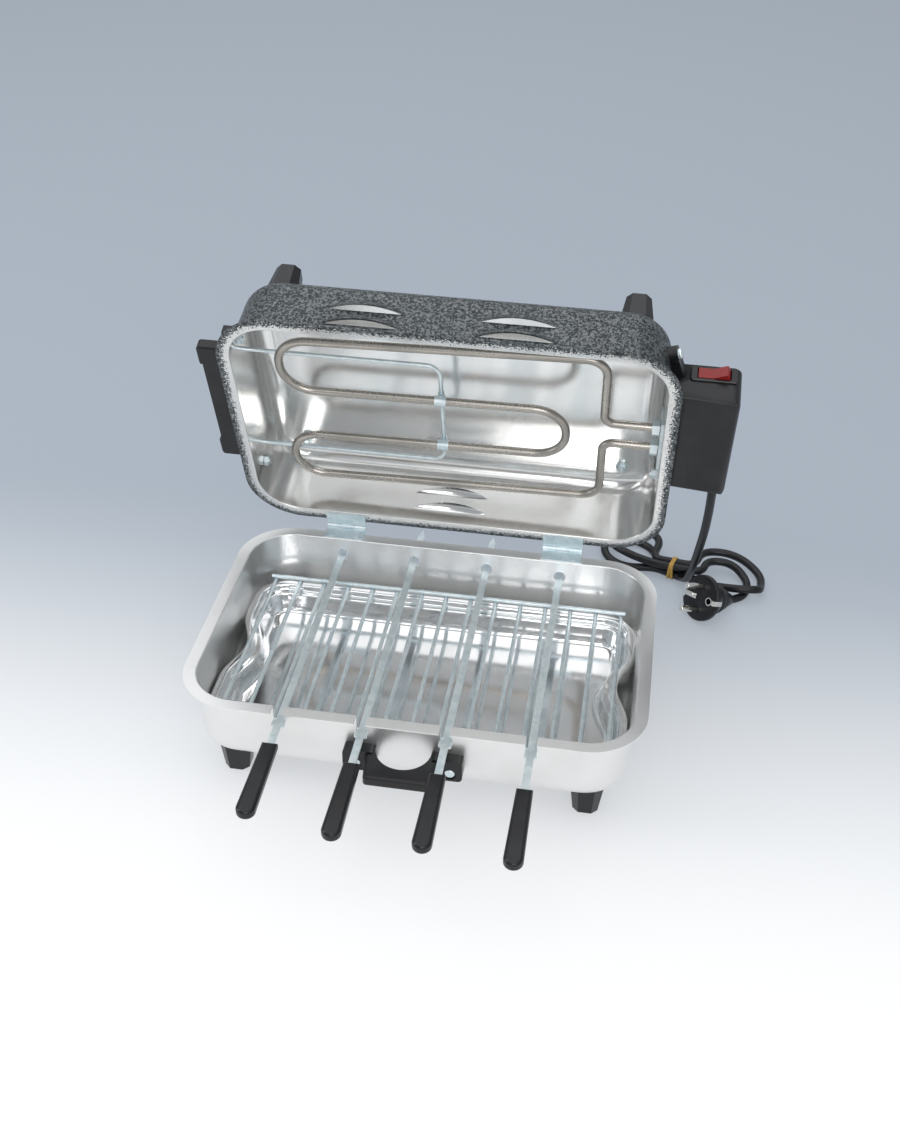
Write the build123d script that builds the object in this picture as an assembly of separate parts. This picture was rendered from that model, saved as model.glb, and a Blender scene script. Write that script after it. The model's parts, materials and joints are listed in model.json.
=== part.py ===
# Electric skewer grill: base pan with drip tray, grid and four skewers, and a hinged lid with the element.
# Millimetres, X to the right, Y to the back, Z up. Base and lid are the same drawn pan, so their pieces are
# modelled in one pressing frame: rim plane at Z 0, the bowl below it.
import os
from math import asin, atan2, cos, degrees, pi, radians, sin, sqrt, tan

from build123d import *

# Drawn pan
pan_length = 312.0
pan_width = 210.0
pan_corner = 40.0
pan_depth = 54.5
flange_width = 9.0
sheet = 1.2
draft = 3.0
floor_radius = 15.0
rim_radius = 1.0

# Feet
foot_height = 22.0
foot_tip = 17.0
foot_flare = 7.0
foot_chamfer = 4.0
foot_rise = 5.0
foot_inset_x = 35.0
foot_inset_y = 31.0
stud_diameter = 5.0
stud_rise = 2.4
push_nut_diameter = 9.0
push_nut_sheet = 0.6
push_nut_crown = 1.4

# Fits
slip = 0.1
running = 0.3
bolt_slip = 0.2

# Skewers
skewer_pitch = 55.5
skewer_drop = 13.0
notch_radius = 3.7
hole_diameter = 9.0
blade_width = 5.0
blade_sheet = 1.5
blade_past = 32.0
blade_point = 9.0
ear_width = 8.6
ear_length = 6.0
ear_round = 1.4
handle_gaps = (15.5, 24.2, 24.6, 28.3)
grip_length = 63.7
grip_neck = 10.7
grip_end = 12.5
grip_thickness = 7.5
grip_round = 2.6
tang_length = 30.0

# Drip tray
tray_end_gap = 12.5
tray_side_gap = 24.0
tray_corner = 24.0
tray_drop = 33.0
tray_sheet = 0.8
tray_lip = 5.0
tray_step = 4.0
tray_ledge = 5.0
tray_taper = 8.0
waist_depth = 9.2
waist_floor = 30.0
waist_mouth = 54.0
waist_round = 9.0

# Wire grid
grid_wire = 3.0
grid_wires = 15
grid_end_gap = 11.5
grid_overhang = 2.5
cross_inset = 2.0
weld_sink = 0.3

# Front handle
front_grip_ear = 39.8
front_grip_root = 25.5
front_grip_nose = 21.8
front_grip_reach = 29.0
front_grip_top = 25.0
front_grip_thickness = 8.0
front_grip_corner = 2.5
front_grip_edge = 2.0
finger_radius = 18.5
front_ear_thickness = 7.0
front_ear_top = 24.0
front_ear_bottom = 41.0
front_ear_round = 3.0
front_screw_x = 31.5
front_screw_depth = 35.0

# Screws and nuts
screw_diameter = 4.0
screw_head = 7.6
screw_head_height = 2.4
screw_end = 1.2
head_sink = 1.0
nut_flats = 7.0
nut_height = 3.2

# Hinges
hinge_inset = 73.0
hinge_length = 30.0
hinge_sheet = 0.9
hinge_overhang = 6.5
hinge_rise = 1.4
hinge_seat = 8.0
hinge_pin = 2.0
knuckle_gap = 0.3
rivet_spread = 19.0
rivet_inset = 4.0
rivet_diameter = 3.0
rivet_face = 4.6
rivet_proud = 0.3
rivet_tail = 0.9
lid_open = 70.6

# Lid handle
lid_ear_inset = 31.0
lid_ear_run = 29.0
lid_ear_foot = 16.5
lid_grip_reach = 28.3
lid_grip_block = 16.5
lid_grip_recess = 2.5
lid_grip_near = 15.0
lid_grip_far = 24.0
lid_gap_reach = 12.8
lid_ear_thickness = 7.0
lid_ear_round = 2.5
lid_grip_corner = 3.0
lid_grip_edge = 1.0
lid_gap_round = 5.0
lid_bolt_inset = 8.4

# Vents: two pairs of pressed hoods in the lid's free wall, one pair in its hinge wall
hood_half = 37.0
hood_radius = 11.0
hood_sink = 5.0
hood_mouth = 80.0
hood_depths = (10.0, 24.2)
free_vents = (-56.0, 46.0)
hinge_vent = -5.0

# Heating element
element_diameter = 6.0
element_depth = 19.5
inner_lefts = (18.5, -29.5)
inner_rights = (21.5, -26.0)
outer_left_gaps = (37.5, 30.5)
outer_right_gaps = (29.5, 36.5)
element_left_gap = 36.0
element_leg_gap = 50.0
element_turn_gap = 26.0
leg_radius = 14.0
bend_share = 0.47
terminal_ys = (13.5, -7.0)
terminal_radius = 8.0
tube_end = 8.0
terminal_pin = 2.4
terminal_pin_length = 9.0
plate_length = 48.0
plate_height = 17.0
plate_sheet = 1.5
plate_y = 3.0
bush_flats = 11.0
bush_height = 5.0

# Element support
wire_diameter = 3.0
wire_half = 50.0
wire_y = 0.5
wire_end = -8.0
wire_bend = 10.0
wire_inset = 0.3
clamp_length = 8.0
clamp_sheet = 0.7

# Control box
box_reach = 45.8
box_free_gap = 43.5
box_hinge_gap = 69.5
box_near = 7.0
box_near_outer = 3.0
box_far = 36.0
box_wall = 2.0
box_round = 5.0
box_ear = 12.0
box_ear_depth = 30.0
box_ear_thickness = 6.0
box_screw_free_gap = 13.0
box_screw_hinge_gap = 14.0

# Switch
bezel_length = 31.0
bezel_height = 12.6
bezel_rise = 1.5
bezel_corner = 1.5
bezel_edge = 0.6
bezel_out = 27.3
switch_depth = 28.0
switch_length = 27.0
switch_height = 11.2
switch_body = 18.0
rocker_radius = 10.9
rocker_height = 8.6
rocker_crown = 3.4
rocker_pivot = 3.0
rocker_base = 3.5
rocker_tilt = 12.0
rocker_room = 6.4
trunnion = 3.0
trunnion_length = 0.8

# Cord bush in the box and the cord
cord_diameter = 6.5
cord_out = 38.8
bush_depth = 20.0
bush_length = 3.0
bush_root = 4.0
bush_collar = 4.8
bush_tip = 4.0
bush_tail = 2.5
cord_drop = 16.0
cord_end = 14.0

# Hank: two strands on the floor through the rubber band and two on top of them
band_x = 170.5
band_y = 199.9
band_width = 5.0
band_sheet = 1.0
strand_pitch = 7.1
layer_pitch = 7.2
strand_straight = 3.6
floor_gap = 0.15
low_angle = 155.0
top_angle = 172.0
loop_angle = 144.0
outer_loop_radius = 22.5
outer_loop_reach = 66.0
inner_loop_radius = 14.7
inner_loop_reach = 57.0
loop_dip = 1.6
arc_share = 0.45
sample_step = 1.5
sample_skip = 20

# Plug, lying on its rim and its cord end
plug_x = 192.4
plug_y = 148.6
plug_yaw = 39.2
plug_pitch = 23.0
plug_roll = 76.5
plug_diameter = 37.0
plug_rim = 4.0
plug_length = 34.0
plug_neck = 9.8
pin_diameter = 4.8
pin_length = 19.0
pin_root = 6.0
pin_pitch = 19.0
earth_offset = 10.0
earth_diameter = 4.8
earth_depth = 14.0
groove_width = 8.0
groove_depth = 2.5
groove_length = 10.0
strip_width = 4.0
strip_sheet = 0.6

lean = tan(radians(draft))
rim_height = foot_height + pan_depth
half_length = pan_length / 2
half_width = pan_width / 2
wall_half_length = half_length - flange_width + sheet
wall_half_width = half_width - flange_width + sheet
wall_corner = pan_corner - flange_width + sheet
corner_stand = nut_flats * nut_flats / (6 * (wall_corner - pan_depth * lean - sheet))
hinge_y = half_width + hinge_overhang
hinge_x = half_length - hinge_inset
foot_x = half_length - foot_inset_x
foot_y = half_width - foot_inset_y
blade_reach = half_width + blade_past
handle_starts = [half_width + gap for gap in handle_gaps]
tray_length = pan_length - 2 * tray_end_gap
tray_width = pan_width - 2 * tray_side_gap
grid_length = tray_length - 2 * grid_end_gap
grid_width = tray_width + 2 * grid_overhang
grid_cross = tray_width - 2 * cross_inset
lid_ear_half = half_width - lid_ear_inset
lid_gap_half = lid_ear_half - lid_ear_run
lid_grip_half = lid_ear_half - lid_ear_foot
lid_bolt_y = lid_ear_half - lid_bolt_inset
run_lefts = (half_width - outer_left_gaps[0], *inner_lefts, outer_left_gaps[1] - half_width)
run_rights = (half_width - outer_right_gaps[0], *inner_rights, outer_right_gaps[1] - half_width)
element_left = element_left_gap - half_length
element_leg = half_length - element_leg_gap
element_turn = element_leg - element_turn_gap
box_free = half_width - box_free_gap
box_hinge = box_hinge_gap - half_width
box_screw_free = box_free + box_screw_free_gap
box_screw_hinge = box_hinge - box_screw_hinge_gap
bezel_x = wall_half_length + bezel_out
cord_x = wall_half_length + cord_out
up = (Align.CENTER, Align.CENTER, Align.MIN)
nodes = {}


# Solid that fills the pressing down from the rim plane: skin 0 is its outside, skin sheet its inside
def pan_form(skin):
    outline = RectangleRounded(2 * (wall_half_length - skin), 2 * (wall_half_width - skin), wall_corner - skin)
    form = extrude(outline, amount=pan_depth - skin, dir=(0, 0, -1), taper=draft)
    return fillet(form.faces().sort_by(Axis.Z)[0].edges(), floor_radius - skin)


# Plane on the outside of a wall: Z outward, Y up the wall; it follows the pan's corner past the straight wall
def wall_plane(side, along, depth):
    facing = Vector(side[0], side[1], 0)
    run = Vector(abs(side[1]), abs(side[0]), 0) * (1 if along > 0 else -1)
    reach = wall_half_length if side[0] else wall_half_width
    straight = (wall_half_width if side[0] else wall_half_length) - wall_corner
    radius = wall_corner - depth * lean
    turn = asin(max(abs(along) - straight, 0) / radius)
    flat = min(abs(along), straight)
    spot = facing * (reach - wall_corner + radius * cos(turn)) + run * (flat + radius * sin(turn))
    outward = facing * cos(turn) + run * sin(turn)
    level = Vector(0, 0, 1).cross(outward)
    normal = outward * cos(radians(draft)) - Vector(0, 0, sin(radians(draft)))
    return Plane(origin=spot - Vector(0, 0, depth), x_dir=level, z_dir=normal)


outside = pan_form(0)
inside = pan_form(sheet)


# The drawn pan with its flange and the four stud holes
def pressing():
    plate = extrude(RectangleRounded(pan_length, pan_width, pan_corner), amount=-sheet)
    pan = plate + outside - inside
    pan = fillet(pan.faces().sort_by(Axis.Z)[-1].inner_wires()[0].edges(), rim_radius)
    for x, y in foot_places():
        pan -= Pos(x, y, -pan_depth) * Cylinder(stud_diameter / 2 + slip, 4 * sheet)
    return pan


def foot_places():
    return [(x, y) for y in (-foot_y, foot_y) for x in (-foot_x, foot_x)]


# Tapered square foot, hollowed to the pan's rounded floor edge, with its stud
def foot(x, y):
    tip = chamfer(Rectangle(foot_tip, foot_tip).vertices(), foot_chamfer)
    body = extrude(tip, amount=foot_height + foot_rise, taper=-foot_flare)
    body = Pos(x, y, -pan_depth - foot_height) * body - outside
    stud_length = sheet + stud_rise
    return body + Pos(x, y, -pan_depth) * Cylinder(stud_diameter / 2, stud_length, align=up)


def push_nut(x, y):
    disc = Cylinder(push_nut_diameter / 2, push_nut_sheet, align=up)
    crown = Cone(push_nut_diameter / 3, stud_diameter / 2 + push_nut_sheet, push_nut_crown, align=up)
    nut = disc + crown - Cylinder(stud_diameter / 2 + slip, 4 * push_nut_crown)
    return Pos(x, y, sheet - pan_depth) * nut


# Screw through a moulded ear and the wall: origin of the plane on the wall's outside
def wall_screw(place, ear):
    shank_length = ear + sheet + nut_height + screw_end
    shank = Pos(0, 0, ear - shank_length) * Cylinder(screw_diameter / 2, shank_length, align=up)
    head = Pos(0, 0, ear) * Cylinder(screw_head / 2, screw_head_height, align=up)
    head = fillet(head.faces().sort_by(Axis.Z)[-1].edges(), screw_head_height / 2)
    return place * (shank + head)


# A nut at the pan's rounded corner stands off on its own corners
def wall_nut(place, stand=0):
    hexagon = RegularPolygon(nut_flats / 2, 6, major_radius=False)
    nut = extrude(hexagon - Circle(screw_diameter / 2 + slip), amount=nut_height)
    return place * Pos(0, 0, -sheet - stand - nut_height) * nut


def wall_bore(place, diameter, length):
    return place * Cylinder(diameter / 2, length)


# Base pieces stand at the rim's height; lid pieces are turned over onto it and swung open about the hinge
base_place = Pos(0, 0, rim_height)
lid_turned = Pos(0, hinge_y, rim_height + hinge_rise) * Rot(-lid_open, 0, 0) * Pos(0, -hinge_y, hinge_rise)
lid_place = lid_turned * Rot(180, 0, 0)


def on_base(name, *shapes):
    placed = [base_place * shape for shape in shapes]
    nodes[name] = placed[0] if len(placed) == 1 else Compound(children=placed)


def on_lid(name, *shapes):
    placed = [lid_place * shape for shape in shapes]
    nodes[name] = placed[0] if len(placed) == 1 else Compound(children=placed)


# Skewer places: four across the pan
skewer_xs = [skewer_pitch * (i - 1.5) for i in range(4)]
front = (0, -1)
rear = (0, 1)
left = (-1, 0)
right = (1, 0)

# Base pan with notches, holes and handle screw holes
base_pan = pressing()
notch_length = 4 * flange_width
for x in skewer_xs:
    notch = Pos(x, 0, -skewer_drop) * Rot(90, 0, 0) * Cylinder(notch_radius, notch_length)
    slot = Pos(x, 0, -skewer_drop / 2) * Box(2 * notch_radius, notch_length, skewer_drop)
    base_pan -= Pos(0, -wall_half_width - flange_width / 4, 0) * (notch + slot)
    hole = Rot(90, 0, 0) * Cylinder(hole_diameter / 2, flange_width)
    base_pan -= Pos(x, wall_half_width, -skewer_drop) * hole
front_screws = [wall_plane(front, x, front_screw_depth) for x in (-front_screw_x, front_screw_x)]
for place in front_screws:
    base_pan -= wall_bore(place, screw_diameter + bolt_slip, flange_width)

# Hinges: two plain leaves, the outer knuckles on the base's and the middle one on the lid's
knuckle_bore = hinge_pin / 2 + slip
knuckle_radius = knuckle_bore + hinge_sheet
knuckle_length = hinge_length / 3
leaf_back = hinge_y - knuckle_radius - running
leaf_front = half_width - hinge_seat


def leaf(x, centres):
    leaf_length = leaf_back - leaf_front
    plate = Pos(x, (leaf_front + leaf_back) / 2, hinge_sheet / 2) * Box(hinge_length, leaf_length, hinge_sheet)
    for centre in centres:
        long = knuckle_length - knuckle_gap
        tongue_length = hinge_y - leaf_back
        tongue = Box(long, tongue_length, hinge_sheet)
        plate += Pos(x + centre, hinge_y - tongue_length / 2, hinge_sheet / 2) * tongue
        roll = Rot(0, 90, 0) * Cylinder(knuckle_radius, long)
        plate += Pos(x + centre, hinge_y, hinge_rise) * roll
    plate -= Pos(x, hinge_y, hinge_rise) * Rot(0, 90, 0) * Cylinder(knuckle_bore, 2 * hinge_length)
    for rivet_x in rivet_places(x):
        plate -= Pos(rivet_x, rivet_y, 0) * Cylinder(rivet_diameter / 2 + slip, 4 * hinge_sheet)
    return plate


rivet_y = half_width - rivet_inset


def rivet_places(x):
    return (x - rivet_spread / 2, x + rivet_spread / 2)


def rivet(x):
    top = Pos(0, 0, hinge_sheet) * Cylinder(rivet_face / 2, rivet_proud, align=up)
    length = hinge_sheet + sheet + rivet_tail
    shank = Pos(0, 0, -sheet - rivet_tail) * Cylinder(rivet_diameter / 2, length, align=up)
    tail = Pos(0, 0, -sheet - rivet_tail) * Cylinder(rivet_face / 2, rivet_tail, align=up)
    return Pos(x, rivet_y, 0) * (top + shank + tail)


outer_knuckles = (-knuckle_length, knuckle_length)
turned = Rot(0, 0, 180)
lid_pan = pressing()
for side in (-1, 1):
    word = "left" if side < 0 else "right"
    on_base("hinge_leaf_base_" + word, leaf(side * hinge_x, outer_knuckles))
    on_lid("hinge_leaf_lid_" + word, turned * leaf(-side * hinge_x, (0,)))
    for x in rivet_places(side * hinge_x):
        hole = Pos(x, rivet_y, 0) * Cylinder(rivet_diameter / 2 + slip, 4 * sheet)
        base_pan -= hole
        lid_pan -= turned * hole
hinge_rivets = [rivet(x) for side in (-1, 1) for x in rivet_places(side * hinge_x)]
on_base("base_hinge_rivets", *hinge_rivets)
on_lid("lid_hinge_rivets", *[turned * one for one in hinge_rivets])
pin_rod = Rot(0, 90, 0) * Cylinder(hinge_pin / 2, hinge_length)
on_base("hinge_pins", *[Pos(side * hinge_x, hinge_y, hinge_rise) * pin_rod for side in (-1, 1)])
on_base("base_pan", base_pan)

# Feet and push nuts of both pans
foot_words = ("front_left", "front_right", "rear_left", "rear_right")
lid_words = ("hinge_left", "hinge_right", "free_left", "free_right")
for (x, y), base_word, lid_word in zip(foot_places(), foot_words, lid_words):
    on_base("foot_" + base_word, foot(x, y))
    on_lid("lid_foot_" + lid_word, foot(x, y))
on_base("base_push_nuts", *[push_nut(x, y) for x, y in foot_places()])
on_lid("lid_push_nuts", *[push_nut(x, y) for x, y in foot_places()])

# Front handle: loop with a half-round finger cut between two screwed ears
front_face = front_grip_reach + wall_half_width
grip_plan = make_face(
    Polyline(
        (-front_grip_root, -wall_half_width + flange_width),
        (-front_grip_root, -wall_half_width),
        (-front_grip_nose, -front_face),
        (front_grip_nose, -front_face),
        (front_grip_root, -wall_half_width),
        (front_grip_root, -wall_half_width + flange_width),
        close=True,
    )
)
grip_plan = fillet(grip_plan.vertices().group_by(Axis.Y)[0], front_grip_corner)
grip_plan -= Pos(0, -wall_half_width) * Circle(finger_radius)
front_handle = Pos(0, 0, -front_grip_top) * extrude(grip_plan, amount=-front_grip_thickness)
nose_edges = front_handle.edges().filter_by(GeomType.LINE).group_by(Axis.Y)[0]
front_handle = fillet(nose_edges, front_grip_edge)
ear_height = front_ear_bottom - front_ear_top
ear_run = front_grip_ear - finger_radius
for side in (-1, 1):
    ear_middle = side * (front_grip_ear + finger_radius) / 2
    slab = Box(ear_run, 2 * front_ear_thickness, ear_height)
    slab = fillet(slab.edges().filter_by(Axis.Y), front_ear_round)
    front_handle += Pos(ear_middle, -wall_half_width, -(front_ear_top + front_ear_bottom) / 2) * slab
front_handle -= outside
for place in front_screws:
    front_handle -= wall_bore(place, screw_diameter + bolt_slip, 4 * front_ear_thickness)
    seat = Cylinder(screw_head / 2 + running, front_ear_thickness, align=up)
    front_handle -= place * Pos(0, 0, front_ear_thickness - head_sink) * seat
on_base("front_handle", front_handle)
on_base("front_handle_screws", *[wall_screw(place, front_ear_thickness - head_sink) for place in front_screws])
on_base("front_handle_nuts", *[wall_nut(place) for place in front_screws])

# Drip tray: waisted outline, stepped rim, drawn-in wall
tray_plan = RectangleRounded(tray_length, tray_width, tray_corner)
for side in (-1, 1):
    mouth = side * (tray_length / 2 + tray_sheet)
    throat = side * (tray_length / 2 - waist_depth)
    waist = Polyline(
        (mouth, -waist_mouth / 2),
        (throat, -waist_floor / 2),
        (throat, waist_floor / 2),
        (mouth, waist_mouth / 2),
        close=True,
    )
    tray_plan -= make_face(waist)
waist_corners = [v for v in tray_plan.vertices() if abs(v.Y) < waist_mouth / 2]
tray_plan = fillet(waist_corners, waist_round)
tray_depth = pan_depth - sheet - tray_drop


def tray_layer(inset, top, depth, taper):
    plan = offset(tray_plan, amount=-inset) if inset else tray_plan
    return Pos(0, 0, -tray_drop - top) * extrude(plan, amount=depth, dir=(0, 0, -1), taper=taper)


well_inset = tray_lip + tray_ledge
tray = tray_layer(0, 0, tray_sheet, 0)
tray += tray_layer(tray_lip, 0, tray_step + tray_sheet, 0)
tray += tray_layer(well_inset, tray_step, tray_depth - tray_step, tray_taper)
tray -= tray_layer(tray_lip + tray_sheet, 0, tray_step, 0)
tray -= tray_layer(well_inset + tray_sheet, tray_step, tray_depth - tray_step - tray_sheet, tray_taper)
on_base("drip_tray", tray)

# Wire grid: wires front to back on the tray's rim, two cross wires notched down onto them and welded
grid_z = -tray_drop + grid_wire / 2
grid_step = grid_length / (grid_wires - 1)
rod = Rot(90, 0, 0) * Cylinder(grid_wire / 2, grid_width)
cross_rod = Rot(0, 90, 0) * Cylinder(grid_wire / 2, grid_length + 2 * grid_wire)
wires = [Pos(grid_step * i - grid_length / 2, 0, grid_z) * rod for i in range(grid_wires)]
cross_z = grid_z + grid_wire - weld_sink
cross_wires = [Pos(0, side * grid_cross / 2, cross_z) * cross_rod - wires for side in (-1, 1)]
on_base("wire_grid", *wires, *cross_wires)

# Skewers: flat blade with a point, ears outside the front wall, moulded handle on the tang
ear_back = -(wall_half_width - (skewer_drop - ear_width / 2) * lean) - running
for number, (x, start) in enumerate(zip(skewer_xs, handle_starts), 1):
    blade_front = -start - tang_length
    half = blade_width / 2
    blade = make_face(
        Polyline(
            (-half, blade_front), (half, blade_front), (half, blade_reach - blade_point), (0, blade_reach),
            (-half, blade_reach - blade_point), close=True,
        )
    )
    blade += Pos(0, ear_back - ear_length / 2) * RectangleRounded(ear_width, ear_length, ear_round)
    blade = Pos(x, 0, -skewer_drop) * extrude(blade, amount=blade_sheet / 2, both=True)
    end_radius = grip_end / 2
    tip_y = -start - grip_length + end_radius
    grip = make_face(
        Polyline(
            (-grip_neck / 2, -start),
            (-end_radius, tip_y),
            (end_radius, tip_y),
            (grip_neck / 2, -start),
            close=True,
        )
    )
    grip += Pos(0, tip_y) * Circle(end_radius)
    grip = extrude(grip, amount=grip_thickness / 2, both=True)
    grip = fillet(grip.faces().filter_by(Axis.Z).edges(), grip_round)
    on_base(f"skewer_{number}_blade", blade)
    on_base(f"skewer_{number}_handle", Pos(x, 0, -skewer_drop) * grip - blade)


# Half lens on the hood's axis, drawn in by the sheet for its inside
def lens(skin):
    bow = (hood_half * hood_half + hood_radius * hood_radius) / (2 * hood_radius)
    drop = bow - hood_radius
    half = sqrt((bow - skin) * (bow - skin) - drop * drop)
    arc = ThreePointArc((-half, 0), (0, hood_radius - skin), (half, 0))
    return Rot(180 - hood_mouth, 0, 0) * make_face([arc, Line((half, 0), (-half, 0))])


# Vent: two hoods pressed out of the wall, their mouths towards the rim
def vented(pan, side, x):
    proud = Box(2 * hood_half, 4 * hood_radius, 2 * hood_radius, align=up)
    for depth in hood_depths:
        wall = wall_plane(side, x, depth)
        hood_axis = wall * Pos(0, 0, -hood_sink)
        hood = hood_axis * revolve(lens(0), axis=Axis.X, revolution_arc=hood_mouth)
        hollow = hood_axis * revolve(lens(sheet), axis=Axis.X, revolution_arc=hood_mouth + 90)
        pan = pan + (hood & wall * Pos(0, 0, -sheet / 2) * proud) - hollow
    return pan


for x in free_vents:
    lid_pan = vented(lid_pan, rear, x)
lid_pan = vented(lid_pan, front, hinge_vent)

# Lid handle: bar on two blocks, ears bolted to the left wall
lid_bolts = [wall_plane(left, y, (lid_grip_near + lid_grip_far) / 2) for y in (-lid_bolt_y, lid_bolt_y)]
wall_x = -wall_half_length
grip_height = lid_grip_far - lid_grip_near
grip_middle = -(lid_grip_near + lid_grip_far) / 2
bar = Pos(wall_x - lid_grip_reach / 2 + flange_width / 2, 0) * Rectangle(
    lid_grip_reach + flange_width, 2 * lid_grip_half
)
bar = fillet(bar.vertices().group_by(Axis.X)[0], lid_grip_corner)
bar -= Pos(wall_x - lid_grip_reach, 0) * Rectangle(2 * lid_grip_recess, 2 * (lid_grip_half - lid_grip_block))
gap = Pos(wall_x, 0) * Rectangle(2 * lid_gap_reach, 2 * lid_gap_half)
bar -= fillet(gap.vertices(), lid_gap_round)
lid_handle = Pos(0, 0, grip_middle) * extrude(bar, amount=grip_height / 2, both=True)
lid_handle = chamfer(lid_handle.faces().sort_by(Axis.X)[:2].edges(), lid_grip_edge)
for side in (-1, 1):
    slab = Box(2 * lid_ear_thickness, lid_ear_run, grip_height)
    slab = fillet(slab.edges().filter_by(Axis.X), lid_ear_round)
    lid_handle += Pos(wall_x, side * (lid_ear_half + lid_gap_half) / 2, grip_middle) * slab
lid_handle -= outside
for place in lid_bolts:
    bore = screw_diameter + bolt_slip
    lid_pan -= wall_bore(place, bore, flange_width)
    lid_handle -= wall_bore(place, bore, 4 * lid_ear_thickness)
    seat = Cylinder(screw_head / 2 + running, lid_ear_thickness, align=up)
    lid_handle -= place * Pos(0, 0, lid_ear_thickness - head_sink) * seat
on_lid("lid_handle", lid_handle)
on_lid("lid_handle_bolts", *[wall_screw(place, lid_ear_thickness - head_sink) for place in lid_bolts])
on_lid("lid_handle_nuts", *[wall_nut(place, corner_stand) for place in lid_bolts])

# Heating element: one tube in four runs, its ends through the right wall
tube_x = wall_half_length + tube_end
run_points = [(tube_x, terminal_ys[0]), (element_leg, terminal_ys[0]), (element_leg, run_rights[0])]
run_points += [(element_left, run_lefts[0]), (element_left, run_lefts[1])]
run_points += [(element_turn, run_rights[1]), (element_turn, run_rights[2])]
run_points += [(element_left, run_lefts[2]), (element_left, run_lefts[3])]
run_points += [(element_leg, run_rights[3]), (element_leg, terminal_ys[1]), (tube_x, terminal_ys[1])]
bends = []
for upper, lower in ((0, 1), (1, 2), (2, 3)):
    ends = run_rights if upper == 1 else run_lefts
    bends += 2 * [bend_share * (ends[upper] - ends[lower])]
bends = [terminal_radius, leg_radius] + bends + [leg_radius, terminal_radius]
element_path = Pos(0, 0, -element_depth) * FilletPolyline(*run_points, radius=bends)


def rod_along(path, diameter):
    section = Plane(origin=path @ 0, z_dir=path % 0) * Circle(diameter / 2)
    return sweep(section, path=path)


tube = rod_along(element_path, element_diameter)
element = tube
for y in terminal_ys:
    end = Pos(tube_x, y, -element_depth) * Rot(0, 90, 0)
    element += end * Cylinder(terminal_pin / 2, 2 * terminal_pin_length)
    lid_pan -= end * Cylinder(element_diameter / 2 + slip, 8 * tube_end)
on_lid("heating_element", element)

# Terminal plate against the right wall and the two hexagon bushes on the tube
plate_plane = wall_plane(right, plate_y, element_depth) * Pos(0, 0, -sheet)
plate = plate_plane * Pos(0, 0, -plate_sheet / 2) * Box(plate_length, plate_height, plate_sheet)
bush_seat = bush_flats / sqrt(3) * lean
bush_seat_x = wall_half_length - element_depth * lean - sheet - plate_sheet - bush_seat
bushes = []
for y in terminal_ys:
    bore = Rot(0, 90, 0) * Cylinder(element_diameter / 2 + slip, 8 * tube_end)
    plate -= Pos(tube_x, y, -element_depth) * bore
    hexagon = RegularPolygon(bush_flats / 2, 6, major_radius=False) - Circle(element_diameter / 2 + slip)
    bushes += [Pos(bush_seat_x, y, -element_depth) * Rot(0, -90, 0) * extrude(hexagon, amount=bush_height)]
on_lid("terminal_plate", plate)
on_lid("terminal_bushes", *bushes)

# Support wire behind the element, its ends in the left wall, and the two clamps
wire_depth = element_depth + element_diameter / 2 + wire_diameter / 2 + slip
wire_start = -(wall_half_length - wire_depth * lean - wire_inset)
wire_path = Pos(0, wire_y, -wire_depth) * FilletPolyline(
    (wire_start, wire_half), (wire_end, wire_half), (wire_end, -wire_half), (wire_start, -wire_half),
    radius=wire_bend,
)
support_wire = rod_along(wire_path, wire_diameter)
on_lid("support_wire", support_wire)
for side in (-1, 1):
    hole = Pos(wire_start, wire_y + side * wire_half, -wire_depth) * Rot(0, 90, 0)
    lid_pan -= hole * Cylinder(wire_diameter / 2 + slip, 8 * sheet)
clamps = []
for run in (1, 2):
    share = (wire_end - element_left) / (element_turn - element_left)
    run_y = run_lefts[run] + share * (run_rights[run] - run_lefts[run])
    slope = degrees(atan2(run_rights[run] - run_lefts[run], element_turn - element_left))
    along_tube = Pos(wire_end, run_y, -element_depth) * Rot(0, 0, slope)
    around_tube = along_tube * Rot(0, 90, 0)
    around_wire = Pos(wire_end, run_y, -wire_depth) * Rot(90, 0, 0)
    clamp = around_tube * Cylinder(element_diameter / 2 + clamp_sheet + slip, clamp_length)
    clamp += around_wire * Cylinder(wire_diameter / 2 + clamp_sheet + slip, clamp_length)
    clamp -= around_tube * Cylinder(element_diameter / 2 + slip, 2 * clamp_length)
    clamp -= around_wire * Cylinder(wire_diameter / 2 + slip, 4 * clamp_length)
    clamps += [clamp]
on_lid("element_clamps", *clamps)

# Control box: moulded shell open to the wall, slanted panel, screw ears at both ends
box_x = wall_half_length + box_reach
box_profile = make_face(
    Polyline(
        (wall_half_length - flange_width, -box_near), (wall_half_length, -box_near), (box_x, -box_near_outer),
        (box_x, -box_far), (wall_half_length - flange_width, -box_far), close=True,
    )
)
box_length = box_free - box_hinge
box_frame = Plane(origin=(0, box_free, 0), x_dir=(1, 0, 0), z_dir=(0, -1, 0))
box_solid = extrude(box_frame * box_profile, amount=box_length)
panel_edges = [e for e in box_solid.edges() if e.center().Z > -box_far / 2 and e.center().X > wall_half_length]
box_solid = fillet(panel_edges, box_round)
room_profile = offset(box_profile, amount=-box_wall, kind=Kind.INTERSECTION)
room_frame = Plane(origin=(0, box_free - box_wall, 0), x_dir=(1, 0, 0), z_dir=(0, -1, 0))
room = extrude(room_frame * room_profile, amount=box_length - 2 * box_wall)
room_edges = [e for e in room.edges() if e.center().Z > -box_far / 2 and e.center().X > wall_half_length]
room = fillet(room_edges, box_round - box_wall)
box_screws = [wall_plane(right, y, box_ear_depth) for y in (box_screw_hinge, box_screw_free)]
ears = []
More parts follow.
